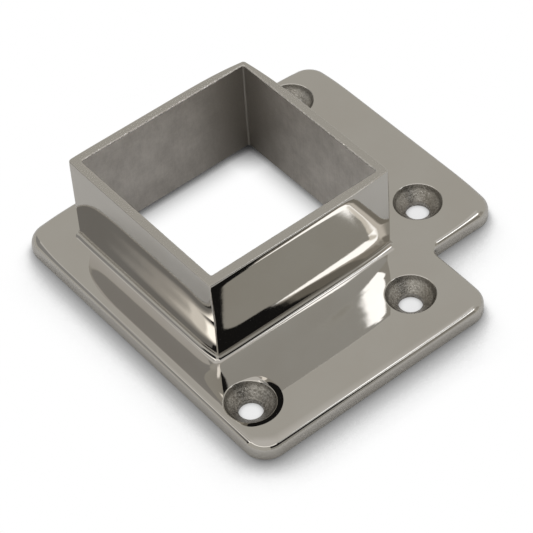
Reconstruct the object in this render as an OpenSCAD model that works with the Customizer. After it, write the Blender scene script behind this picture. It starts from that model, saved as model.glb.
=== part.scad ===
// Base flange for a square tube: one casting with a screw plate and an open square socket.
// The socket stands in the corner of the plate, with wide screwed strips on two sides.
// Frame: millimetres, +Z up, the floor at Z = 0, the socket's axis at X = Y = 0.
// +X and +Y point to the two screwed strips, and the plate is alike on both sides of the line X = Y.

/* [Tube socket] */

// Outside width of the square tube that goes in
tube_side = 50; // [46:0.5:54]
// Clearance between the tube and the socket, across the whole width
tube_play = 0.4; // [0.2:0.1:1]
// Thickness of the socket's walls
wall = 2.3; // [1.8:0.1:3.5]
// Height of the socket's rim above the floor
rim_height = 30.5; // [24:0.5:45]
// Radius of the upright outside corners
upright_r = 0.8; // [0.4:0.1:1.5]
// Radius of the blend between the walls and the plate
foot_r = 2.2; // [1.2:0.1:3]
// Width and height of the bevel at the bore's lower mouth
mouth_bevel = 2.8; // [1:0.1:3.4]

/* [Plate] */

// Thickness of the plate
plate_t = 4.5; // [4:0.1:6]
// Margin outside the socket on the two sides without screws
narrow_margin = 10.5; // [8:0.5:14]
// Margin outside the socket on the two sides with screws
wide_margin = 29.5; // [27:0.5:34]
// Ledge between the socket and the notch in the far corner
notch_ledge = 7; // [5:0.5:9]
// Radius of the plate's outside corners
corner_r = 6; // [4:0.5:8]
// Radius of the notch's inside corner
notch_r = 2.5; // [1:0.5:5]
// Radius of the rounded upper edge all round the plate
edge_r = 1.3; // [0.8:0.1:1.8]

/* [Screw holes] */

// Diameter of the through holes
hole_d = 6; // [5:0.1:6.6]
// Diameter of the countersinks at the plate's surface
sink_d = 12.5; // [11.5:0.1:12.9]
// Angle of the countersinks' cone
sink_angle = 90; // [82:1:100]
// Radius of the polished lip round each countersink
lip_r = 0.5; // [0.3:0.1:0.7]
// Distance from the socket's wall to the line of the holes
hole_offset = 15; // [13:0.5:17]
// Distance between the two holes of a line
hole_pitch = 50; // [47:0.5:53]
// Distance from the plate's end to the corner hole of a line
corner_hole_in = 8.5; // [8:0.1:10]

/* [Hidden] */

$fn = 96;
over = 1;
casting = [0.64, 0.62, 0.59];

// Half of the socket's outside width, and of the bore's
half = tube_side / 2 + tube_play / 2 + wall;
bore = half - wall;
// Where the plate ends on the sides without and with screws, and where the notch starts
near_end = -half - narrow_margin;
far_end = half + wide_margin;
notch = half + notch_ledge;
// The line of the holes, and the two places along it
line_at = half + hole_offset;
first_at = near_end + corner_hole_in;
second_at = first_at + hole_pitch;
// How deep the cone goes, and how high the straight edge below the rounded one is
sink_depth = (sink_d - hole_d) / 2 / tan(sink_angle / 2);
side_h = plate_t - edge_r;

// Flat shapes

// A square corner piece with its round part taken out: what a radius removes or a blend adds
module spandrel(r, extra = 0) {
    difference() {
        translate([-extra, -extra])
            square(r + extra);
        translate([r, r])
            circle(r);
    }
}

// A quarter of a disc, which is the section of the rounded edge
module quarter(r) {
    intersection() {
        circle(r);
        square(2 * r);
    }
}

// The plate seen from above, drawn in by a distance on every side
module outline(in = 0) {
    a = near_end + in;
    b = far_end - in;
    c = notch - in;
    r = corner_r - in;
    difference() {
        polygon([[a, a], [b, a], [b, c], [c, c], [c, b], [a, b]]);
        translate([a, a])
            spandrel(r, over);
        for (m = [0, 1])
            mirror([m, -m]) {
                translate([b, a])
                    mirror([1, 0])
                        spandrel(r, over);
                translate([b, c])
                    rotate(180)
                        spandrel(r, over);
            }
    }
    translate([c, c])
        spandrel(notch_r + in);
}

// The socket's outside seen from above, grown by a distance on every side
module socket_outline(out = 0) {
    r = upright_r + out;
    s = half + out;
    difference() {
        square(2 * s, center = true);
        for (a = [0 : 90 : 270])
            rotate(a)
                translate([-s, -s])
                    spandrel(r, over);
    }
}

// Solid parts

// One straight piece of the plate's rounded edge, from the first point to the second, plate to the left
module edge_run(p, q) {
    d = q - p;
    translate([p[0], p[1], side_h])
        rotate([0, 0, atan2(d[1], d[0])])
            translate([0, edge_r, 0])
                rotate([90, 0, 90])
                    linear_extrude(norm(d))
                        mirror([1, 0])
                            quarter(edge_r);
}

// The rounded edge turned round one outside corner of the plate
module edge_turn(p, from) {
    translate([p[0], p[1], side_h])
        rotate([0, 0, from])
            rotate_extrude(angle = 90)
                translate([corner_r - edge_r, 0])
                    quarter(edge_r);
}

// The rounded edge turned round the notch's inside corner
module edge_turn_in(p, from) {
    translate([p[0], p[1], side_h])
        rotate([0, 0, from])
            rotate_extrude(angle = 90)
                translate([notch_r + edge_r, 0])
                    mirror([1, 0])
                        quarter(edge_r);
}

// The plate: upright sides, and a rounded edge on top that follows the outline
module plate() {
    r = corner_r;
    n = notch_r;
    linear_extrude(side_h)
        outline();
    linear_extrude(plate_t)
        outline(edge_r);
    // straight pieces
    edge_run([near_end + r, near_end], [far_end - r, near_end]);
    edge_run([far_end, near_end + r], [far_end, notch - r]);
    edge_run([far_end - r, notch], [notch + n, notch]);
    edge_run([notch, notch + n], [notch, far_end - r]);
    edge_run([notch - r, far_end], [near_end + r, far_end]);
    edge_run([near_end, far_end - r], [near_end, near_end + r]);
    // corners
    edge_turn([near_end + r, near_end + r], 180);
    edge_turn([far_end - r, near_end + r], 270);
    edge_turn([far_end - r, notch - r], 0);
    edge_turn([notch - r, far_end - r], 0);
    edge_turn([near_end + r, far_end - r], 90);
    edge_turn_in([notch + n, notch + n], 180);
}

// The blend between the walls and the plate: four straight runs and four turned corners
module foot() {
    run = 2 * (half - upright_r);
    for (a = [0 : 90 : 270])
        rotate(a)
            translate([half, -run / 2, plate_t]) {
                rotate([90, 0, 180])
                    linear_extrude(run)
                        mirror([1, 0])
                            spandrel(foot_r);
                translate([-upright_r, 0, 0])
                    rotate([0, 0, -90])
                        rotate_extrude(angle = 90)
                            translate([upright_r, 0])
                                spandrel(foot_r);
            }
}

// The way through for the tube, with a bevel at the lower mouth
module bore_space() {
    m = mouth_bevel + over;
    section = [[-bore - m, -over], [bore + m, -over], [bore, mouth_bevel], [-bore, mouth_bevel]];
    translate([-bore, -bore, -over])
        cube([2 * bore, 2 * bore, rim_height + 2 * over]);
    intersection() {
        translate([0, 2 * half, 0])
            rotate([90, 0, 0])
                linear_extrude(4 * half)
                    polygon(section);
        translate([-2 * half, 0, 0])
            rotate([90, 0, 90])
                linear_extrude(4 * half)
                    polygon(section);
    }
}

// A screw hole with its countersink and the worn lip round it, turned about the screw's axis
module screw_space() {
    h = hole_d / 2;
    s = sink_d / 2;
    tilt = 90 - sink_angle / 2;
    // the lip's arc touches the plate's surface and the cone
    reach = lip_r * tan(tilt / 2);
    arc = [for (i = [0 : 6]) let (t = 90 + tilt * i / 6)
        [s + reach + lip_r * cos(t), plate_t - lip_r + lip_r * sin(t)]];
    rotate_extrude()
        polygon(concat(
            [[0, -over], [h, -over], [h, plate_t - sink_depth]],
            [for (i = [6 : -1 : 0]) arc[i]],
            [[s + reach, plate_t + over], [0, plate_t + over]]
        ));
}

// The whole casting
module base_flange() {
    color(casting)
        difference() {
            union() {
                plate();
                linear_extrude(rim_height)
                    socket_outline();
                foot();
            }
            bore_space();
            for (m = [0, 1])
                mirror([m, -m, 0])
                    for (y = [first_at, second_at])
                        translate([line_at, y, 0])
                            screw_space();
        }
}

base_flange();
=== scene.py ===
"""Looks of the base flange: one polished casting, seen on a white studio floor.

Lengths are in millimetres until the mesh is made, and angles in degrees until they are used.
Sides come in the order -Y, +X, +Y and -X. In the photograph, the -X -Y corner is the left one, and
the +X -Y, +X +Y and -X +Y corners are the front, right and back ones.
"""

import math

import bpy
import numpy as np
from mathutils import Matrix, Vector
from mathutils.geometry import delaunay_2d_cdt


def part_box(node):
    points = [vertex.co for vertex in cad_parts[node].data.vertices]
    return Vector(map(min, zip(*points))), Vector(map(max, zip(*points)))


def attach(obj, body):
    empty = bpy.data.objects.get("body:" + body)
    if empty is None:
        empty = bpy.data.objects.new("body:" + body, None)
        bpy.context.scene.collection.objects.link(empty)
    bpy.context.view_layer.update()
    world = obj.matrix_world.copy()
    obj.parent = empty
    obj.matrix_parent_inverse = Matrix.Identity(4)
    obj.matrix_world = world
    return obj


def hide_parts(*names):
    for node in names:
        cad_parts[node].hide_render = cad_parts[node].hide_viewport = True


MM = 0.001

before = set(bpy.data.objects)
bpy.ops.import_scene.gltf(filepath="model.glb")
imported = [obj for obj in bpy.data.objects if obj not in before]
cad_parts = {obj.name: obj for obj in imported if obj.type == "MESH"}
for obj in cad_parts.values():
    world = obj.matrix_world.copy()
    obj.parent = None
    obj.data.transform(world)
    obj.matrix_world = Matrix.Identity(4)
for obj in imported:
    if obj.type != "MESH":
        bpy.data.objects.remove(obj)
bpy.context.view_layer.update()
low, high = (np.array(corner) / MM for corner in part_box("base_flange"))

# Sizes of the casting: the outside ones come from the frame
NEAR = low[0]
FAR = high[0]
RIM_Z = high[2]
HALF = 27.5
BORE = HALF - 2.3
NOTCH = HALF + 7.0
PLATE_T = 4.5
MOUTH_BEVEL = 2.8

# Corner radii, seen from above; the socket's are those of the left, front, right and back corners
PLATE_R = 6.0
NOTCH_R = 2.5
SOCKET_R = (1.2, 0.35, 0.7, 1.0)
BORE_R = 0.5

# How far the polished faces stand out from the socket's axis, by side
FACES = (27.75, 28.0, 27.75, 27.8)
# A face's slight roll towards a corner: its depth there and its reach
SLIGHT_ROLL = (0.10, 8.0)

# The plate's upper edge: its radius, and how much rounder it is worn at the outline's six corners,
# in the outline's order from the left one
EDGE_R = 1.3
EDGE_WORN = (1.0, 0.1, 0.5, 0.0, 1.0, 1.0)
EDGE_WORN_REACH = 14.0
# how far the plate's top drops at its edge, and from how far in
EDGE_ROLL = 0.42
EDGE_ROLL_REACH = 6.5
# The plate's lower edge
BOTTOM_R = 0.25

# The foot of the walls: a tight blend, and a soft flare beyond it with its height and reach
FOOT_R = 1.3
FOOT_FLARE = 0.50
FOOT_FLARE_REACH = 8.0

# The rim: the radius of its outer edge, and how far the walls lean in just below it, and from where
RIM_R = 0.25
TOP_ROLL = 0.10
TOP_REACH = 2.5
# its inner edge is a ragged chamfer: how far from the bore, how far below the rim and how ragged
RIM_EDGE = [
    (0.40, 0.0, 0.0),
    (0.36, 0.015, 0.4),
    (0.22, 0.07, 1.0),
    (0.09, 0.125, 1.0),
    (0.02, 0.17, 0.6),
    (0.0, 0.30, 0.0),
]
# how far its points wander in or out, the share of that by side, and the share of it up or down
BURR = 0.075
BURR_BY_SIDE = (0.25, 0.25, 0.55, 1.0)
BURR_UP = 0.5
BURR_SEED = 11
# The radius where the bore turns into its lower bevel
MOUTH_R = 0.25

# Screw holes: the countersink's radius and tilt, the neck's radius, and their places from the front one on
SINK_R = 6.25
SINK_TILT = 45.0
HOLE_R = 3.0
LINE_AT = HALF + 15.0
HOLE_FIRST = NEAR + 8.5
HOLE_SECOND = HOLE_FIRST + 50.0
HOLES = [
    (LINE_AT, HOLE_FIRST),
    (LINE_AT, HOLE_SECOND),
    (HOLE_SECOND, LINE_AT),
    (HOLE_FIRST, LINE_AT),
]
# the width of the polished lip
LIP = 0.30
# the softened edge where the cone meets the neck: its height, and its middle row's step out and tilt
NECK_SOFT = 0.15
NECK_STEP = 0.04
NECK_TILT = 70.0

# The hole in the front corner has a wide lip, worn to a slope on the side towards this direction
WORN_HOLE = 0
WORN_LIP = 1.25
WORN_LIP_TOWARDS = 42.0
# the cosine of the angle from there at which the wear sets in, and over how much of it the wear grows
WORN_LIP_FROM = -0.55
WORN_LIP_GROWS = 0.8
# the slope's tilt at its outer edge and beside the cone, and how much steeper the latter gets, and where
WORN_LIP_TILTS = (8.0, 13.0)
WORN_LIP_MORE = 16.0
WORN_LIP_STEEPEST = 145.0
# the slope's normals gather round one direction: how strongly, up to how far from it and how softly
GATHER_ROUND = 30.0
GATHER = 0.45
GATHER_REACH = 110.0
GATHER_SOFT = 40.0

# Spacing of the mesh along the outlines, along the bore and over the flats, and how far it keeps clear
STEP = 0.55
BORE_STEP = 0.3
GRID = 1.0
CLEAR = 0.6
# Numbers of points on a corner's arc and round a hole
TURNS = 10
HOLE_SIDES = 96
# Numbers of rows, from one end of each form to the other
LOWER_EDGE_ROWS = 4
UPPER_EDGE_ROWS = 13
FOOT_ROWS = 15
WALL_ROWS = 40
RIM_ROWS = 7
BORE_ROWS = 24
CONE_ROWS = 12
# Rows at shares of the plate's side, and of the lip's width with the share where its slope ends
SIDE_SHARES = (0.33, 0.67)
LIP_SHARES = (0.01, 0.12, 0.25, 0.4, 0.55, 0.7, 0.84, 0.9, 0.95, 1.0)
LIP_SLOPE = 0.84
# How much closer together the wall's rows are towards the rim
WALL_CROWDING = 0.15
# Half of the step over which a slope is measured, on the plate and on the walls
PROBE = 0.02
WALL_PROBE = 0.05
# Triangulation: only the inside is kept, and points closer than this are one
CDT_INSIDE = 1
CDT_JOIN = 1e-7

# Materials of the mesh, by number
POLISHED, SATIN, CAST, GRAINED = range(4)


def fade(x):
    """1 at 0, down to 0 at 1 with no kink there."""
    return np.clip(1.0 - x, 0.0, 1.0) ** 3


def fade_slope(x):
    """The slope of fade."""
    return -3.0 * np.clip(1.0 - x, 0.0, 1.0) ** 2


def smooth(x):
    """0 up to 0 and 1 from 1 on, with no kink."""
    x = np.clip(x, 0, 1)
    return x * x * (3 - 2 * x)


def unit(v):
    return v / np.linalg.norm(v, axis=-1, keepdims=True)


def column(values):
    """One value or many as a column, to scale rows of vectors."""
    return np.reshape(values, (-1, 1))


def rays(angles):
    """Flat unit vectors at angles in radians."""
    return np.stack([np.cos(angles), np.sin(angles)], axis=1)


HOLE_ANGLES = np.linspace(0, 2 * math.pi, HOLE_SIDES, endpoint=False)
HOLE_RAYS = rays(HOLE_ANGLES)


def inside_ring(points, ring):
    """Which points are inside a closed ring."""
    x, y = points[:, 0], points[:, 1]
    inside = np.zeros(len(points), bool)
    for (x0, y0), (x1, y1) in zip(ring, np.roll(ring, -1, axis=0)):
        if y0 == y1:
            continue
        crosses = (y0 > y) != (y1 > y)
        inside ^= crosses & (x < (x1 - x0) * (y - y0) / (y1 - y0) + x0)
    return inside


def arc_sample(arc, step):
    """The place and the outward normal at one of the steps along a corner's arc."""
    centre, r, turn, first = arc
    angle = first + turn * math.pi / 2 * step / TURNS
    ray = np.array([math.cos(angle), math.sin(angle)])
    return centre + r * ray, ray * turn


class Loop:
    """A closed outline of straight lines and arcs, counter-clockwise, sampled at fixed places.

    at, out and along are each sample's place, outward normal and direction.
    A line has the number of the corner before it, and lies run from that corner and left from the next.
    turned is how far round its corner's arc a sample is, from 0 to 1, and -1 on the lines.
    """

    def __init__(self, corners, step=STEP):
        places = np.array([corner[:2] for corner in corners], float)
        count = len(corners)
        arcs = []
        for k, (_, _, r) in enumerate(corners):
            before = unit(places[k] - places[k - 1])
            after = unit(places[(k + 1) % count] - places[k])
            turn = np.sign(before[0] * after[1] - before[1] * after[0])
            aside = np.array([-before[1], before[0]])
            centre = places[k] - before * r + aside * r * turn
            arcs.append((centre, r, turn, math.atan2(-aside[1] * turn, -aside[0] * turn)))
        samples = []
        for k, arc in enumerate(arcs):
            for i in range(TURNS + 1):
                samples.append((*arc_sample(arc, i), k, 0.0, 0.0, i / TURNS))
            start, out = samples[-1][:2]
            end, _ = arc_sample(arcs[(k + 1) % count], 0)
            length = np.linalg.norm(end - start)
            parts = max(1, round(length / step))
            for i in range(1, parts):
                at = start + (end - start) * i / parts
                samples.append((at, out, k, length * i / parts, length * (1 - i / parts), -1.0))
        self.at, self.out, self.number, self.run, self.left, self.turned = map(np.array, zip(*samples))
        self.along = np.stack([-self.out[:, 1], self.out[:, 0]], axis=1)

    def moved(self, distance):
        """The samples moved outwards."""
        return self.at + self.out * column(distance)

    def distance(self, points):
        """Distance from each point to the outline, positive on both sides."""
        lines = np.roll(self.at, -1, axis=0) - self.at
        squares = (lines * lines).sum(1)
        best = np.full(len(points), np.inf)
        for start, line, square in zip(self.at, lines, squares):
            away = points - start
            share = np.clip(away @ line / square, 0, 1)
            best = np.minimum(best, ((away - share[:, None] * line) ** 2).sum(1))
        return np.sqrt(best)


def square_loop(half, r, step=STEP):
    return Loop([(-half, -half, r), (half, -half, r), (half, half, r), (-half, half, r)], step)


plate_loop = Loop([
    (NEAR, NEAR, PLATE_R),
    (FAR, NEAR, PLATE_R),
    (FAR, NOTCH, PLATE_R),
    (NOTCH, NOTCH, NOTCH_R),
    (NOTCH, FAR, PLATE_R),
    (NEAR, FAR, PLATE_R),
])
socket_loop = Loop([
    (-FACES[3], -FACES[0], SOCKET_R[0]),
    (FACES[1], -FACES[0], SOCKET_R[1]),
    (FACES[1], FACES[2], SOCKET_R[2]),
    (-FACES[3], FACES[2], SOCKET_R[3]),
])
bore_loop = square_loop(BORE, BORE_R, BORE_STEP)
mouth_loop = square_loop(BORE + MOUTH_BEVEL, BORE_R + MOUTH_BEVEL)


class Skin:
    """The casting's surface: points with their normals, and faces with their material."""

    def __init__(self):
        self.points = np.zeros((0, 3))
        self.normals = np.zeros((0, 3))
        self.faces = []

    def add(self, points, normals):
        """Adds points with their normals and returns their numbers."""
        first = len(self.points)
        self.points = np.vstack([self.points, points])
        self.normals = np.vstack([self.normals, unit(normals)])
        return np.arange(first, len(self.points))

    def faces_up(self, faces):
        """Which faces are wound to agree with the normal of their first point."""
        p, q, r = (self.points[faces[:, k]] for k in range(3))
        return (np.cross(q - p, r - p) * self.normals[faces[:, 0]]).sum(1) > 0

    def band(self, rows, material):
        """Faces between rings of points that match one to one."""
        for a, b in zip(rows[:-1], rows[1:]):
            quads = np.column_stack([a, np.roll(a, -1), np.roll(b, -1), b])
            if self.faces_up(quads).mean() < 0.5:
                quads = quads[:, ::-1]
            self.faces.append((quads, material))

    def fill(self, outer, inner, extra, place, material):
        """Triangles between a ring and the rings inside it, with more points in between.

        place turns flat points into points and normals.
        """
        flat, numbers, edges = [], [], []
        for ring in [outer] + inner:
            first, count = len(flat), len(ring)
            flat.extend(self.points[ring][:, :2].tolist())
            numbers.extend(ring.tolist())
            edges.extend((first + i, first + (i + 1) % count) for i in range(count))
        numbers.extend(self.add(*place(extra)).tolist())
        flat.extend(extra.tolist())
        result = delaunay_2d_cdt([Vector(p) for p in flat], edges, [], CDT_INSIDE, CDT_JOIN, True)
        places = np.array([tuple(v) for v in result[0]])
        triangles = np.array([tuple(t) for t in result[2]])
        owners = np.array([numbers[origins[0]] for origins in result[3]])
        middles = places[triangles].mean(1)
        keep = inside_ring(middles, self.points[outer][:, :2])
        for ring in inner:
            keep &= ~inside_ring(middles, self.points[ring][:, :2])
        faces = owners[triangles[keep]]
        wrong = ~self.faces_up(faces)
        faces[wrong] = faces[wrong][:, ::-1]
        self.faces.append((faces, material))


def ring(loop, xy, z, out=1.0, up=0.0, along=0.0):
    """Points at a height, with normals given by their parts outwards, upwards and along the loop."""
    n = len(xy)
    flat = loop.out * column(out) + loop.along * column(along)
    return np.column_stack([xy, np.broadcast_to(z, n)]), np.column_stack([flat, np.broadcast_to(up, n)])


def plate_height(points):
    """Height of the plate's polished top, rolled off at its edge and flared at the socket's foot."""
    z = np.full(len(points), PLATE_T)
    z -= EDGE_ROLL * fade(plate_loop.distance(points) / EDGE_ROLL_REACH)
    z += FOOT_FLARE * fade(socket_loop.distance(points) / FOOT_FLARE_REACH)
    return z


def plate_place(points):
    """Points of the plate's top with their normals."""
    slopes = []
    for step in ([PROBE, 0], [0, PROBE]):
        slopes.append((plate_height(points + step) - plate_height(points - step)) / (2 * PROBE))
    normals = np.column_stack([-slopes[0], -slopes[1], np.ones(len(points))])
    return np.column_stack([points, plate_height(points)]), normals


def flat_place(z, up):
    """A function that gives points at one height with upright normals."""
    def place(points):
        n = len(points)
        return np.column_stack([points, np.full(n, z)]), np.tile([0.0, 0.0, up], (n, 1))
    return place


def edge_radius():
    """Radius of the plate's upper edge, which is worn rounder at the outside corners."""
    loop = plate_loop
    worn = np.array(EDGE_WORN)
    before = worn[loop.number]
    after = np.roll(worn, -1)[loop.number]
    on_line = np.maximum(before * fade(loop.run / EDGE_WORN_REACH), after * fade(loop.left / EDGE_WORN_REACH))
    return EDGE_R + np.where(loop.turned >= 0, before, on_line)


def plate_side(skin):
    """The plate's lower edge, side and rounded upper edge: returns the lowest and top rings."""
    loop = plate_loop
    r = edge_radius()
    rows = []
    for t in np.linspace(0, math.pi / 2, LOWER_EDGE_ROWS):
        inset = BOTTOM_R * (1 - math.sin(t))
        z = BOTTOM_R * (1 - math.cos(t))
        rows.append(skin.add(*ring(loop, loop.moved(-inset), z, math.sin(t), -math.cos(t))))
    side_top = PLATE_T - r - EDGE_ROLL
    for share in SIDE_SHARES:
        rows.append(skin.add(*ring(loop, loop.at, BOTTOM_R + (side_top - BOTTOM_R) * share)))
    for t in np.linspace(0, math.pi / 2, UPPER_EDGE_ROWS):
        inset = r * (1 - math.cos(t))
        z = PLATE_T - r * (1 - math.sin(t)) - EDGE_ROLL * fade(inset / EDGE_ROLL_REACH)
        up = r * math.sin(t)
        slope = -EDGE_ROLL * fade_slope(inset / EDGE_ROLL_REACH) / EDGE_ROLL_REACH
        rows.append(skin.add(*ring(loop, loop.moved(-inset), z, r * math.cos(t) + slope * up, up)))
    skin.band(rows, POLISHED)
    return rows[0], rows[-1]


def face_rolls(z):
    """How much each polished face is rolled in at its two ends at a height, as depths and reaches.

    Some of them change between two heights.
    """
    return [
        # -Y face, from the left corner to the front one
        (SLIGHT_ROLL, (np.interp(z, (18, 27), (0.5, 0.08)), 10.0)),
        # +X face, from the front corner to the right one
        ((0.12, 8.0), (np.interp(z, (14, 29), (0.55, 0.85)), np.interp(z, (14, 29), (16.0, 28.0)))),
        # +Y face, from the right corner to the back one
        (SLIGHT_ROLL, (1.2, 28.0)),
        # -X face, from the back corner to the left one
        ((1.2, 22.0), SLIGHT_ROLL),
    ]


def roll_in(loop, z):
    """How far the socket's faces are rolled in at a height: a shift, and its slope along the outline."""
    shift = np.zeros_like(loop.at)
    slope = np.zeros(len(loop.at))
    rolls = face_rolls(z)
    sides = [(loop.number == k) & (loop.turned < 0) for k in range(4)]
    normals = [loop.out[side][0] for side in sides]
    # each corner is moved in by the depths of both its faces
    corners = [-rolls[k - 1][1][0] * normals[k - 1] - rolls[k][0][0] * normals[k] for k in range(4)]
    for k, side in enumerate(sides):
        (depth0, reach0), (depth1, reach1) = rolls[k]
        x0 = loop.run[side] / reach0
        x1 = loop.left[side] / reach1
        share = loop.run[side] / (loop.run[side] + loop.left[side])
        along = loop.along[side][0]
        slide = (1 - share) * (corners[k] @ along) + share * (corners[(k + 1) % 4] @ along)
        inwards = depth0 * fade(x0) + depth1 * fade(x1)
        shift[side] = column(slide) * along - column(inwards) * normals[k]
        slope[side] = -depth0 * fade_slope(x0) / reach0 + depth1 * fade_slope(x1) / reach1
        arc = (loop.number == k) & (loop.turned >= 0)
        before_depth, before_reach = rolls[k - 1][1]
        turned = loop.turned[arc]
        shift[arc] = corners[k]
        slope[arc] = fade_slope(0) * (before_depth / before_reach * (1 - turned) - depth0 / reach0 * turned)
    return shift, slope


def wall_shift(loop, z):
    """How the polished wall is shifted at a height, with its slopes along and up."""
    shift, along = roll_in(loop, z)
    change = roll_in(loop, z + WALL_PROBE)[0] - roll_in(loop, z - WALL_PROBE)[0]
    up = (change * loop.out).sum(1) / (2 * WALL_PROBE)
    top = (RIM_Z - z) / TOP_REACH
    return shift - TOP_ROLL * fade(top) * loop.out, along, up + TOP_ROLL * fade_slope(top) / TOP_REACH


def socket_wall(skin):
    """The foot's blend, the wall and the rim's outer edge: returns the lowest and top rings."""
    loop = socket_loop
    rows = []
    # the blend, which takes up the wall's shift from the plate upwards
    shift, along, _ = wall_shift(loop, PLATE_T + FOOT_R)
    inwards = (shift * loop.out).sum(1)
    for t in np.linspace(math.pi / 2, 0, FOOT_ROWS):
        out = FOOT_R * (1 - math.cos(t))
        share = 1 - out / FOOT_R
        z = PLATE_T + FOOT_R * (1 - math.sin(t)) + FOOT_FLARE * fade(out / FOOT_FLARE_REACH)
        flare_slope = FOOT_FLARE * fade_slope(out / FOOT_FLARE_REACH) / FOOT_FLARE_REACH
        step_out = FOOT_R * math.sin(t) * (1 - inwards / FOOT_R)
        step_up = -FOOT_R * math.cos(t) + flare_slope * FOOT_R * math.sin(t)
        xy = loop.moved(out) + shift * share
        rows.append(skin.add(*ring(loop, xy, z, -step_up, step_out, along * share * step_up)))
    # the wall
    bottom = PLATE_T + FOOT_R + FOOT_FLARE
    top = RIM_Z - RIM_R
    shares = np.linspace(0, 1, WALL_ROWS)[1:]
    for share in shares + WALL_CROWDING * np.sin(math.pi * shares) * shares:
        z = bottom + (top - bottom) * share
        shift, along, up = wall_shift(loop, z)
        rows.append(skin.add(*ring(loop, loop.at + shift, z, 1.0, -up, -along)))
    # the rim's outer edge
    for t in np.linspace(0, math.pi / 2, RIM_ROWS)[1:]:
        z = top + RIM_R * math.sin(t)
        shift, along, up = wall_shift(loop, z)
        out = math.cos(t)
        xy = loop.at + shift - loop.out * RIM_R * (1 - out)
        rows.append(skin.add(*ring(loop, xy, z, out, math.sin(t) - up * out, -along * out)))
    skin.band(rows, POLISHED)
    return rows[0], rows[-1]


def ragged_edge(loop):
    """The rim's inner edge with the burr left on it: rows of points from the rim down, and their normals."""
    random = np.random.default_rng(BURR_SEED)
    burr = BURR * np.choose(loop.number, BURR_BY_SIDE)
    edge = []
    for out, drop, share in RIM_EDGE:
        wander = burr * share * random.normal(size=(2, len(burr)))
        edge.append(np.column_stack([loop.moved(out + wander[0]), RIM_Z - drop + BURR_UP * wander[1]]))
    edge = np.array(edge)
    normals = np.cross(np.gradient(edge, axis=0), np.roll(edge, -1, axis=1) - np.roll(edge, 1, axis=1))
    normals[0] = (0, 0, 1)
    # the others all face up, and the last row's face into the bore
    normals *= np.sign(normals[..., 2:] + 1e-9)
    normals[-1] = np.column_stack([-loop.out, np.zeros(len(burr))])
    return edge, normals


def bore_wall(skin):
    """The rim's inner edge, the bore and its bevel: returns the top and lowest rings."""
    loop = bore_loop
    rim_rows = [skin.add(points, normals) for points, normals in zip(*ragged_edge(loop))]
    rows = [rim_rows[-1]]
    for z in np.linspace(RIM_Z - RIM_EDGE[-1][1], MOUTH_BEVEL + MOUTH_R, BORE_ROWS)[1:]:
        rows.append(skin.add(*ring(loop, loop.at, z, -1.0)))
    for t in np.radians((22.5, 45)):
        out = MOUTH_R * (1 - math.cos(t))
        z = MOUTH_BEVEL + MOUTH_R - MOUTH_R * math.sin(t)
        rows.append(skin.add(*ring(loop, loop.moved(out), z, -math.cos(t), -math.sin(t))))
    for out in (MOUTH_BEVEL / 2, MOUTH_BEVEL):
        rows.append(skin.add(*ring(loop, loop.moved(out), MOUTH_BEVEL - out, -1.0, -1.0)))
    skin.band(rim_rows, POLISHED)
    skin.band(rows, CAST)
    return rim_rows[0], rows[-1]


def hole_ring(number, r, z, tilt, towards=-HOLE_RAYS):
    """A ring round a hole's axis, with normals tilted from upright towards the axis."""
    points = np.column_stack([HOLES[number] + HOLE_RAYS * column(r), np.broadcast_to(z, HOLE_SIDES)])
    up = np.broadcast_to(np.cos(tilt), HOLE_SIDES)
    return points, np.column_stack([towards * column(np.sin(tilt)), up])


def lip_rows(skin, number):
    """The rings of a hole's polished lip, from the plate's top to the cone."""
    worn = np.zeros(HOLE_SIDES)
    if number == WORN_HOLE:
        turn = np.cos(HOLE_ANGLES - math.radians(WORN_LIP_TOWARDS))
        worn = smooth((turn - WORN_LIP_FROM) / WORN_LIP_GROWS)
    lip = LIP + WORN_LIP * worn
    off = (np.degrees(HOLE_ANGLES) - GATHER_ROUND + 180) % 360 - 180
    gathered = GATHER * off * np.clip((GATHER_REACH - np.abs(off)) / GATHER_SOFT, 0, 1) * worn
    towards = -rays(HOLE_ANGLES - np.radians(gathered))
    outer_tilt, inner_tilt = WORN_LIP_TILTS
    steepest = np.cos(HOLE_ANGLES - math.radians(WORN_LIP_STEEPEST))
    inner_tilt = inner_tilt + WORN_LIP_MORE * np.clip(steepest, 0, 1)
    cone_tilt = math.radians(SINK_TILT)
    r = SINK_R + lip
    rows = [skin.add(*plate_place(HOLES[number] + HOLE_RAYS * column(r)))]
    z = skin.points[rows[0]][:, 2]
    tilt = np.radians(outer_tilt) * worn
    for share in LIP_SHARES:
        # a plain lip is an arc; a worn one is a slope with a sharp outer edge and an arc at the cone
        plain = math.asin(share * math.sin(cone_tilt))
        down = min(1.0, share / LIP_SLOPE)
        slope = np.radians((1 - down) * outer_tilt + down * inner_tilt)
        if share > LIP_SLOPE:
            slope += (share - LIP_SLOPE) / (1 - LIP_SLOPE) * (cone_tilt - slope)
        r_before, tilt_before = r, tilt
        r = SINK_R + lip * (1 - share)
        tilt = (1 - worn) * plain + worn * slope
        z = z - np.tan((tilt + tilt_before) / 2) * (r_before - r)
        rows.append(skin.add(*hole_ring(number, r, z, tilt, towards)))
    return rows


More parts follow.
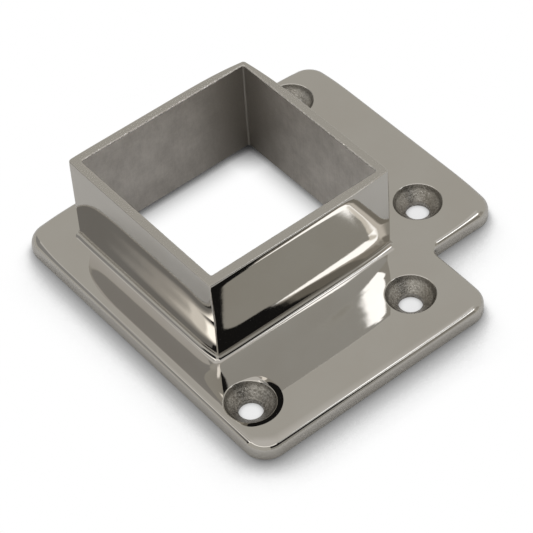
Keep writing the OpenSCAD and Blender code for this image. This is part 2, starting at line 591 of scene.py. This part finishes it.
def screw_hole(skin, number):
    """The lip, cone and neck of one hole: returns the rings at the plate's top and underside."""
    lip = lip_rows(skin, number)
    skin.band(lip, POLISHED)
    cone_top = skin.points[lip[-1]][:, 2]
    neck_top = PLATE_T - (SINK_R - HOLE_R)
    rows = [lip[-1]]
    for share in np.linspace(0, 1, CONE_ROWS)[1:]:
        r = SINK_R + (HOLE_R + NECK_SOFT - SINK_R) * share
        z = cone_top + (neck_top + NECK_SOFT - cone_top) * share
        rows.append(skin.add(*hole_ring(number, r, z, math.radians(SINK_TILT))))
    rows.append(skin.add(*hole_ring(number, HOLE_R + NECK_STEP, neck_top, math.radians(NECK_TILT))))
    for z in (neck_top - NECK_SOFT, neck_top / 2, 0.0):
        rows.append(skin.add(*hole_ring(number, HOLE_R, z, math.pi / 2)))
    skin.band(rows, GRAINED)
    return lip[0], rows[-1]


def lattice(keep_in, margin_in, keep_out, margin_out, hole_reaches):
    """A grid of points inside one outline and outside the others."""
    rows = []
    for k, y in enumerate(np.arange(NEAR + GRID / 2, FAR, GRID * math.sqrt(3) / 2)):
        xs = np.arange(NEAR + GRID / 4 + (k % 2) * GRID / 2, FAR, GRID)
        rows.append(np.column_stack([xs, np.full(len(xs), y)]))
    points = np.vstack(rows)
    good = inside_ring(points, keep_in.at) & (keep_in.distance(points) > margin_in)
    good &= ~inside_ring(points, keep_out.at) & (keep_out.distance(points) > margin_out)
    for centre, reach in zip(HOLES, hole_reaches):
        good &= np.linalg.norm(points - centre, axis=1) > reach
    return points[good]


def build_skin():
    skin = Skin()
    under_edge, top_edge = plate_side(skin)
    foot, rim_outside = socket_wall(skin)
    rim_inside, mouth = bore_wall(skin)
    tops, unders = zip(*(screw_hole(skin, number) for number in range(len(HOLES))))
    reaches = [SINK_R + LIP + CLEAR] * len(HOLES)
    reaches[WORN_HOLE] += WORN_LIP
    extra = lattice(plate_loop, EDGE_R + CLEAR, socket_loop, FOOT_R + CLEAR, reaches)
    skin.fill(top_edge, [foot, *tops], extra, plate_place, POLISHED)
    # the flat underside needs only every third point
    extra = lattice(plate_loop, BOTTOM_R + GRID, mouth_loop, GRID, [HOLE_R + GRID] * len(HOLES))[::3]
    skin.fill(under_edge, [mouth, *unders], extra, flat_place(0.0, -1.0), CAST)
    skin.fill(rim_outside, [rim_inside], np.zeros((0, 2)), flat_place(RIM_Z, 1.0), SATIN)
    return skin


class Nodes:
    """A node tree with short ways to add to it. Those for values and shaders give the new output."""

    def __init__(self, tree):
        self.tree = tree

    def new(self, kind, **values):
        """A new node with plain values on the inputs named, with spaces as underscores."""
        node = self.tree.nodes.new("ShaderNode" + kind)
        for name, value in values.items():
            node.inputs[name.replace("_", " ")].default_value = value
        return node

    def link(self, output, socket):
        self.tree.links.new(output, socket)

    def calc(self, operation, *values, clamp=False):
        node = self.new("Math")
        node.operation = operation
        node.use_clamp = clamp
        for socket, value in zip(node.inputs, values):
            if isinstance(value, (int, float)):
                socket.default_value = value
            else:
                self.link(value, socket)
        return node.outputs[0]

    def place(self):
        """The place on the object, in metres."""
        return self.new("TexCoord").outputs["Object"]

    def split(self, vector):
        """The X, Y and Z of a vector."""
        node = self.new("SeparateXYZ")
        self.link(vector, node.inputs[0])
        return node.outputs

    def noise(self, place, scale, detail=4.0, roughness=0.55, stretch=None):
        """Noise by the place on the object, with features per metre; stretch squeezes it along X, Y and Z."""
        if stretch:
            mapping = self.new("Mapping", Scale=stretch)
            self.link(place, mapping.inputs["Vector"])
            place = mapping.outputs[0]
        node = self.new("TexNoise", Scale=scale, Detail=detail, Roughness=roughness)
        self.link(place, node.inputs["Vector"])
        return node.outputs["Fac"]

    def ranged(self, value, ends, results, kind="LINEAR"):
        """A value taken from one range to another."""
        node = self.new("MapRange", From_Min=ends[0], From_Max=ends[1], To_Min=results[0], To_Max=results[1])
        node.interpolation_type = kind
        self.link(value, node.inputs["Value"])
        return node.outputs[0]

    def mixed(self, share, first, second):
        """A colour between two, where each is a colour or an output."""
        node = self.new("Mix")
        node.data_type = "RGBA"
        self.link(share, node.inputs["Factor"])
        for name, colour in (("A", first), ("B", second)):
            if isinstance(colour, tuple):
                node.inputs[name].default_value = (*colour, 1)
            else:
                self.link(colour, node.inputs[name])
        return node.outputs["Result"]

    def either(self, chosen, value, otherwise):
        """One value where chosen is 1 and another where it is 0."""
        node = self.new("Mix")
        for name, source in (("Factor", chosen), ("A", otherwise), ("B", value)):
            self.link(source, node.inputs[name])
        return node.outputs["Result"]

    def bumped(self, height, distance, before=None):
        """A normal from a height between 0 and 1, with the depth of 1 in millimetres."""
        node = self.new("Bump", Strength=1.0, Distance=distance * MM)
        self.link(height, node.inputs["Height"])
        if before is not None:
            self.link(before, node.inputs["Normal"])
        return node.outputs["Normal"]

    def curved(self, value, points):
        """A value taken along a smooth curve through points."""
        node = self.new("FloatCurve")
        curve = node.mapping.curves[0]
        for k, point in enumerate(points):
            if k < 2:
                curve.points[k].location = point
            else:
                curve.points.new(*point)
        for point in curve.points:
            point.handle_type = "AUTO_CLAMPED"
        node.mapping.update()
        self.link(value, node.inputs["Value"])
        return node.outputs[0]

    def mixed_shaders(self, share, first, second):
        node = self.new("MixShader")
        for socket, source in zip(node.inputs, (share, first, second)):
            self.link(source, socket)
        return node.outputs[0]


def new_material(name):
    """A material with its nodes and its shader."""
    material = bpy.data.materials.new(name)
    material.use_nodes = True
    nodes = Nodes(material.node_tree)
    return material, nodes, nodes.tree.nodes["Principled BSDF"]


def metal(name, look):
    """A metal whose colour, roughness and normal look gives by the place on the object."""
    material, nodes, shader = new_material(name)
    for socket, output in zip(("Base Color", "Roughness", "Normal"), look(nodes, nodes.place())):
        nodes.link(output, shader.inputs[socket])
    shader.inputs["Metallic"].default_value = 1.0
    return material


def from_corner(nodes, place, ends):
    """0 towards the -X +Y corner and 1 away from it, changing softly over X - Y in millimetres."""
    x, y, _ = nodes.split(place)
    return nodes.ranged(nodes.calc("SUBTRACT", x, y), (ends[0] * MM, ends[1] * MM), (0, 1), "SMOOTHSTEP")


def polished(nodes, place):
    """Buffed to a mirror: hardly wavy, with a faint haze and hair scratches."""
    tone = nodes.ranged(nodes.noise(place, 60, detail=5), (0.35, 0.65), (0, 1))
    haze = nodes.noise(place, 220, detail=6, roughness=0.65)
    wave = nodes.bumped(nodes.noise(place, 260, detail=1.0), 0.0022)
    scratches = nodes.noise(place, 1.0, detail=2, stretch=(6000, 900, 6000))
    return (
        nodes.mixed(tone, (0.65, 0.632, 0.604), (0.63, 0.607, 0.574)),
        nodes.ranged(haze, (0.35, 0.7), (0.012, 0.03)),
        nodes.bumped(scratches, 0.0004, wave),
    )


def satin(nodes, place):
    """The rim, ground flat with a fine belt."""
    tone = nodes.ranged(nodes.noise(place, 2600, detail=4), (0.3, 0.7), (0, 1))
    grind = nodes.noise(place, 1.0, detail=3, stretch=(5000, 2500, 5000))
    return (
        nodes.mixed(tone, (0.605, 0.585, 0.555), (0.59, 0.57, 0.54)),
        nodes.ranged(grind, (0.3, 0.7), (0.24, 0.28)),
        nodes.bumped(grind, 0.0008),
    )


def cast(nodes, place):
    """The blasted cast skin inside the socket and underneath, mottled, faintly streaked upright and with
    painted shade in the back corner.
    """
    mottle = nodes.ranged(nodes.noise(place, 170, detail=9, roughness=0.72), (0.3, 0.7), (0, 1))
    streaks = nodes.noise(place, 1.0, detail=4, roughness=0.7, stretch=(2600, 2600, 220))
    streaks = nodes.calc("MULTIPLY", nodes.ranged(streaks, (0.3, 0.7), (0, 1)), 0.2)
    both = nodes.calc("MULTIPLY_ADD", mottle, 0.8, streaks)
    base = nodes.mixed(both, (0.60, 0.575, 0.55), (0.88, 0.85, 0.82))
    grain = nodes.noise(place, 2200, detail=3, roughness=0.6)
    return (
        # painted shade: darker towards the -X +Y corner, the back corner that the camera looks into, where
        # the socket's walls shade the inside
        nodes.mixed(from_corner(nodes, place, (-49, -31)), (0.42, 0.40, 0.375), base),
        nodes.ranged(grain, (0.3, 0.7), (0.42, 0.58)),
        nodes.bumped(grain, 0.03),
    )


def grained(nodes, place):
    """The coarse sandy skin of the countersinks, with bright burnished grains."""
    mottle = nodes.ranged(nodes.noise(place, 1800, detail=4, roughness=0.6), (0.35, 0.65), (0, 1))
    light = nodes.mixed(mottle, (0.38, 0.36, 0.33), (0.64, 0.62, 0.59))
    dark = nodes.mixed(mottle, (0.26, 0.245, 0.225), (0.60, 0.58, 0.55))
    # the hole in the front corner is darker, and all are darker just below their lips
    base = nodes.mixed(from_corner(nodes, place, (35, 60)), light, dark)
    height = nodes.split(place)[2]
    below_lip = nodes.ranged(height, (3.2 * MM, 3.9 * MM), (0, 0.75), "SMOOTHSTEP")
    grain = nodes.noise(place, 1900, detail=2.0, roughness=0.6)
    return (
        nodes.mixed(below_lip, base, (0.13, 0.12, 0.105)),
        nodes.ranged(grain, (0.35, 0.65), (0.42, 0.26)),
        nodes.bumped(grain, 0.13),
    )


def new_object(name, data):
    item = bpy.data.objects.new(name, data)
    bpy.context.scene.collection.objects.link(item)
    return item


def new_mesh_object(name, points, faces):
    """A mesh object from points in millimetres."""
    mesh = bpy.data.meshes.new(name)
    mesh.from_pydata((np.asarray(points) * MM).tolist(), [], faces)
    return new_object(name, mesh)


def make_casting():
    skin = build_skin()
    faces, materials = [], []
    for group, material in skin.faces:
        faces.extend(group.tolist())
        materials.extend([material] * len(group))
    piece = new_mesh_object("flange_casting", skin.points, faces)
    mesh = piece.data
    for name, look in (
        ("polished_steel", polished),
        ("satin_steel", satin),
        ("cast_steel", cast),
        ("grained_steel", grained),
    ):
        mesh.materials.append(metal(name, look))
    mesh.polygons.foreach_set("material_index", materials)
    mesh.polygons.foreach_set("use_smooth", [True] * len(faces))
    mesh.normals_split_custom_set_from_vertices(skin.normals.tolist())
    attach(piece, "root")
    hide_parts("base_flange")


# The camera stands where the photograph was taken from
CAMERA_AT = (330.3, -233.3, 430.7)
CAMERA_AIM = (8.83, 2.81, 0.0)
CAMERA_ROLL = -4.25
CAMERA_LENS = 160.2
CAMERA_SENSOR = 36.0
CAMERA_SEES = 10000.0


def make_camera():
    data = bpy.data.cameras.new("camera")
    data.lens = CAMERA_LENS
    data.sensor_width = CAMERA_SENSOR
    data.clip_end = CAMERA_SEES * MM
    camera = new_object("camera", data)
    at = Vector(CAMERA_AT) * MM
    aim = Vector(CAMERA_AIM) * MM
    turn = (aim - at).to_track_quat("-Z", "Y").to_matrix().to_4x4()
    roll = Matrix.Rotation(math.radians(CAMERA_ROLL), 4, "Z")
    camera.matrix_world = Matrix.Translation(at) @ turn @ roll
    bpy.context.scene.camera = camera


# The floor's shadow: how open a place is, and how bright the floor then looks.
# Outside the casting it leans away from the light, and inside the socket it lies along the walls.
SHADOW_REACH = 14.0
SHADOW_TOWARDS = (-0.64, 0.51, 0.57)
SHADOW_CURVE = [
    (0.0, 0.03), (0.40, 0.22), (0.50, 0.325), (0.575, 0.38), (0.625, 0.43), (0.675, 0.485),
    (0.725, 0.575), (0.775, 0.71), (0.825, 0.88), (0.875, 0.97), (0.92, 1.0), (1.0, 1.0),
]
INSIDE_REACH = 7.5
INSIDE_CURVE = [
    (0.0, 0.0), (0.13, 0.04), (0.20, 0.115), (0.25, 0.18), (0.30, 0.25), (0.35, 0.325), (0.40, 0.405),
    (0.46, 0.49), (0.53, 0.585), (0.585, 0.665), (0.645, 0.74), (0.70, 0.805), (0.80, 0.90), (0.85, 0.938),
    (0.95, 0.99), (1.0, 1.0),
]
HOLE_GAIN = 1.2
# the borders between the three kinds of shadow lie this far under the casting
UNDER_CASTING = 3.5
FLOOR_HALF = 3000.0
FLOOR_ALBEDO = 0.54


def openness(nodes, reach, towards=None):
    """How much of the space round a place is open, or of the space towards a direction."""
    node = nodes.new("AmbientOcclusion", Distance=reach * MM)
    if towards:
        direction = nodes.new("CombineXYZ", X=towards[0], Y=towards[1], Z=towards[2])
        nodes.link(direction.outputs[0], node.inputs["Normal"])
    return node.outputs["AO"]


def floor_glow(nodes):
    """How bright the floor looks to the camera, with the casting's shadow."""
    x, y, _ = nodes.split(nodes.place())
    middle = (NEAR + FAR) / 2 * MM
    aside = [nodes.calc("ABSOLUTE", nodes.calc("SUBTRACT", v, middle)) for v in (x, y)]
    from_axis = [nodes.calc("ABSOLUTE", v) for v in (x, y)]
    plate = nodes.calc("LESS_THAN", nodes.calc("MAXIMUM", *aside), ((FAR - NEAR) / 2 - UNDER_CASTING) * MM)
    not_notch = nodes.calc("LESS_THAN", nodes.calc("MINIMUM", x, y), (NOTCH - UNDER_CASTING) * MM)
    under = nodes.calc("MULTIPLY", plate, not_notch)
    in_bore = nodes.calc("LESS_THAN", nodes.calc("MAXIMUM", *from_axis), (BORE + UNDER_CASTING) * MM)
    near = openness(nodes, INSIDE_REACH)
    inside = nodes.curved(near, INSIDE_CURVE)
    in_hole = nodes.calc("MULTIPLY", near, HOLE_GAIN, clamp=True)
    outside = nodes.curved(openness(nodes, SHADOW_REACH, SHADOW_TOWARDS), SHADOW_CURVE)
    return nodes.either(under, nodes.either(in_bore, inside, in_hole), outside)


def make_floor():
    h = FLOOR_HALF
    floor = new_mesh_object("floor", [(-h, -h, 0), (h, -h, 0), (h, h, 0), (-h, h, 0)], [(0, 1, 2, 3)])
    material, nodes, shader = new_material("floor")
    nodes.tree.nodes.remove(shader)
    diffuse = nodes.new("BsdfDiffuse", Color=(FLOOR_ALBEDO, FLOOR_ALBEDO, FLOOR_ALBEDO, 1))
    glow = nodes.new("Emission")
    nodes.link(floor_glow(nodes), glow.inputs["Strength"])
    seen = nodes.new("LightPath").outputs["Is Camera Ray"]
    both = nodes.mixed_shaders(seen, diffuse.outputs[0], glow.outputs[0])
    nodes.link(both, nodes.tree.nodes["Material Output"].inputs["Surface"])
    floor.data.materials.append(material)


# The cover hides this hole, and is a little wider and higher than its mouth
MIRRORED_HOLE = 1
COVER_OVERLAP = 0.1
COVER_LIFT = 0.01


def make_cover():
    """Leaves the hole beside the +X face out of that face's mirror image, as in the photograph.

    It is a lid in the plate's surface that only mirrored rays from above can see.
    """
    edge = np.array(HOLES[MIRRORED_HOLE]) + (SINK_R + LIP + COVER_OVERLAP) * HOLE_RAYS
    points = np.column_stack([edge, plate_height(edge) + COVER_LIFT])
    cover = new_mesh_object("cover", points, [tuple(range(HOLE_SIDES))])
    material, nodes, shader = new_material("cover")
    shader.inputs["Base Color"].default_value = (0.64, 0.62, 0.59, 1)
    shader.inputs["Metallic"].default_value = 1.0
    shader.inputs["Roughness"].default_value = 0.02
    clear = nodes.new("BsdfTransparent")
    from_below = nodes.new("NewGeometry").outputs["Backfacing"]
    both = nodes.mixed_shaders(from_below, shader.outputs[0], clear.outputs[0])
    nodes.link(both, nodes.tree.nodes["Material Output"].inputs["Surface"])
    cover.data.materials.append(material)
    cover.visible_camera = False
    cover.visible_diffuse = False
    cover.visible_shadow = False
    cover.visible_transmission = False


# The studio round the object, by direction: azimuth from +X towards +Y, and height above the floor.
# Each patch has a colour, the corners of an outline (azimuth, height), counter-clockwise, and the
# softness of its border in degrees. It fills what is on the inner side of all its borders.
# Later patches cover the earlier ones.
TENT = (0.51, 0.495, 0.455)
LIT = (2.50, 2.55, 2.62)
CARD = (0.53, 0.525, 0.49)
BLACK = (0.015, 0.015, 0.015)
PATCHES = [
    # ceiling, and a pale band over the camera
    ((0.66, 0.64, 0.61), [(-200, 59), (200, 59), (200, 100), (-200, 100)], 6.0),
    ((1.60, 1.56, 1.50), [(-132, 52.5), (30, 56), (30, 62), (-132, 60)], 1.5),
    # softbox beyond the notch: what is below it, its dim border, its lit face and corner, and its warm
    # right side with a paler corner
    ((0.36, 0.34, 0.30), [(33, 12), (60, 12), (60, 39.6), (33, 39.6)], 2.0),
    ((0.80, 0.76, 0.70), [(33, 39.4), (50, 39.4), (50, 47), (33, 47)], 2.0),
    (LIT, [(34.4, 44.2), (35.2, 42.4), (37, 41.2), (41.7, 41.6), (45.3, 43.2), (51.6, 49.0), (51.6, 51.5),
           (33, 51.5)], 0.6),
    (LIT, [(46, 48.9), (51.9, 48.9), (51.9, 53), (46, 53)], 0.5),
    ((1.09, 1.05, 0.98), [(42.6, 39.6), (47.5, 39.4), (49, 39.6), (49, 47.6), (46.8, 47.6), (45.2, 44.9)],
     2.0),
    ((1.30, 1.26, 1.17), [(41.4, 44.2), (42.9, 42.9), (44.5, 43.5), (43.4, 45.8), (41.8, 45.8)], 1.0),
    # card in front of the softbox with one more corner, the strip over it and a lamp over the strip
    (CARD, [(30, 45.45), (41.9, 45.1), (42.7, 45.4), (43, 48.8), (30, 48.8)], 0.4),
    (CARD, [(40.8, 46), (41.2, 44.85), (42.2, 44.75), (42.9, 46)], 0.3),
    ((0.57, 0.57, 0.55), [(30, 48.6), (41.2, 48.6), (62, 54.6), (62, 60.5), (30, 60.5)], 0.3),
    (LIT, [(51, 57.2), (64, 59), (66, 63.5), (51, 61.5)], 0.7),
    # left of the softbox: two dim strips, black flags and what is below the flags
    ((0.44, 0.41, 0.36), [(33.5, 12), (42, 12), (42, 40.8), (37, 40.8), (34.9, 42.2), (33.5, 42.2)], 1.4),
    ((0.27, 0.255, 0.225), [(24, 12), (34.6, 12), (34.6, 43.6), (31.6, 43.6)], 0.7),
    (BLACK, [(-20, 24.5), (28, 24.5), (31.5, 40), (31.5, 49), (-20, 49)], 0.5),
    (BLACK, [(25, 30), (29.6, 36), (33, 42.4), (34.6, 45.6), (34.7, 46.3), (31, 48.8), (25, 48.8)], 0.4),
    (BLACK, [(20, 48.7), (31.2, 48.7), (31.0, 56), (20, 58)], 0.6),
    ((0.36, 0.35, 0.32), [(-20, -5), (27, -5), (27, 24), (-20, 24)], 1.0),
    # before the -Y face: a dark wall, a lamp with its glow, a black flag and two cards
    ((0.30, 0.295, 0.285), [(-176, 20), (-119, 20), (-119, 47.5), (-176, 47.5)], 2.0),
    ((0.60, 0.58, 0.55), [(-145.3, 44.8), (-141.5, 42.0), (-119, 42.0), (-119, 48), (-145.3, 48)], 2.0),
    ((1.30, 1.26, 1.18), [(-143.2, 45.4), (-140.5, 43.8), (-119, 42.6), (-119, 48), (-143.2, 48)], 1.5),
    ((2.50, 2.45, 2.35), [(-134, 45.0), (-130, 43.2), (-119, 42.0), (-119, 48), (-134, 48)], 2.5),
    (BLACK, [(-126.5, 30), (-121, 14), (-114, 14), (-119, 41.0), (-125.5, 41.0)], 1.0),
    ((0.64, 0.62, 0.59), [(-178, 49), (-157.8, 49), (-155.3, 56), (-155.3, 58), (-178, 58)], 0.8),
    ((0.385, 0.375, 0.36), [(-157.6, 47.5), (-147, 47.5), (-147, 56), (-155.3, 56), (-156.6, 51.5)], 0.4),
]


def make_world():
    world = bpy.data.worlds.new("studio")
    bpy.context.scene.world = world
    world.use_nodes = True
    world.node_tree.nodes.clear()
    nodes = Nodes(world.node_tree)
    x, y, z = nodes.split(nodes.new("TexCoord").outputs["Generated"])
    azimuth = nodes.calc("MULTIPLY", nodes.calc("ARCTAN2", y, x), 180 / math.pi)
    height = nodes.calc("MULTIPLY", nodes.calc("ARCSINE", z), 180 / math.pi)

    def covered(corners, soft):
        """1 on the inner side of an outline's borders and 0 elsewhere."""
        inside = None
        for (x0, y0), (x1, y1) in zip(corners, corners[1:] + corners[:1]):
            scale = math.hypot(x1 - x0, y1 - y0) * soft
            a, b = (y0 - y1) / scale, (x1 - x0) / scale
            part = nodes.calc("MULTIPLY_ADD", azimuth, a, 0.5 - a * x0 - b * y0)
            part = nodes.calc("MULTIPLY_ADD", height, b, part, clamp=True)
            inside = part if inside is None else nodes.calc("MULTIPLY", inside, part)
        return inside

    colour = TENT
    for tint, corners, soft in PATCHES:
        colour = nodes.mixed(covered(corners, soft), colour, tint)
    studio = nodes.new("Background")
    nodes.link(colour, studio.inputs["Color"])
    # a camera low enough to see past the floor's edge sees Blender's own pale grey
    backdrop = nodes.new("Background")
    seen = nodes.new("LightPath").outputs["Is Camera Ray"]
    both = nodes.mixed_shaders(seen, studio.outputs[0], backdrop.outputs[0])
    nodes.link(both, nodes.new("OutputWorld").inputs["Surface"])


# One wide soft lamp, high beyond the object as the camera sees it
LAMP_FROM = (-0.45, 0.36, 0.82)
LAMP_STRENGTH = 1.6
LAMP_WIDTH = 70.0


def make_lamp():
    """The lamp, which mirrors don't show: they show the studio's patches."""
    data = bpy.data.lights.new("softbox", "SUN")
    data.energy = LAMP_STRENGTH
    data.angle = math.radians(LAMP_WIDTH)
    lamp = new_object("softbox", data)
    lamp.rotation_euler = Vector(LAMP_FROM).to_track_quat("Z", "Y").to_euler()
    lamp.visible_glossy = False


make_casting()
make_camera()
make_floor()
make_cover()
make_world()
make_lamp()
bpy.context.scene.view_settings.view_transform = "Standard"
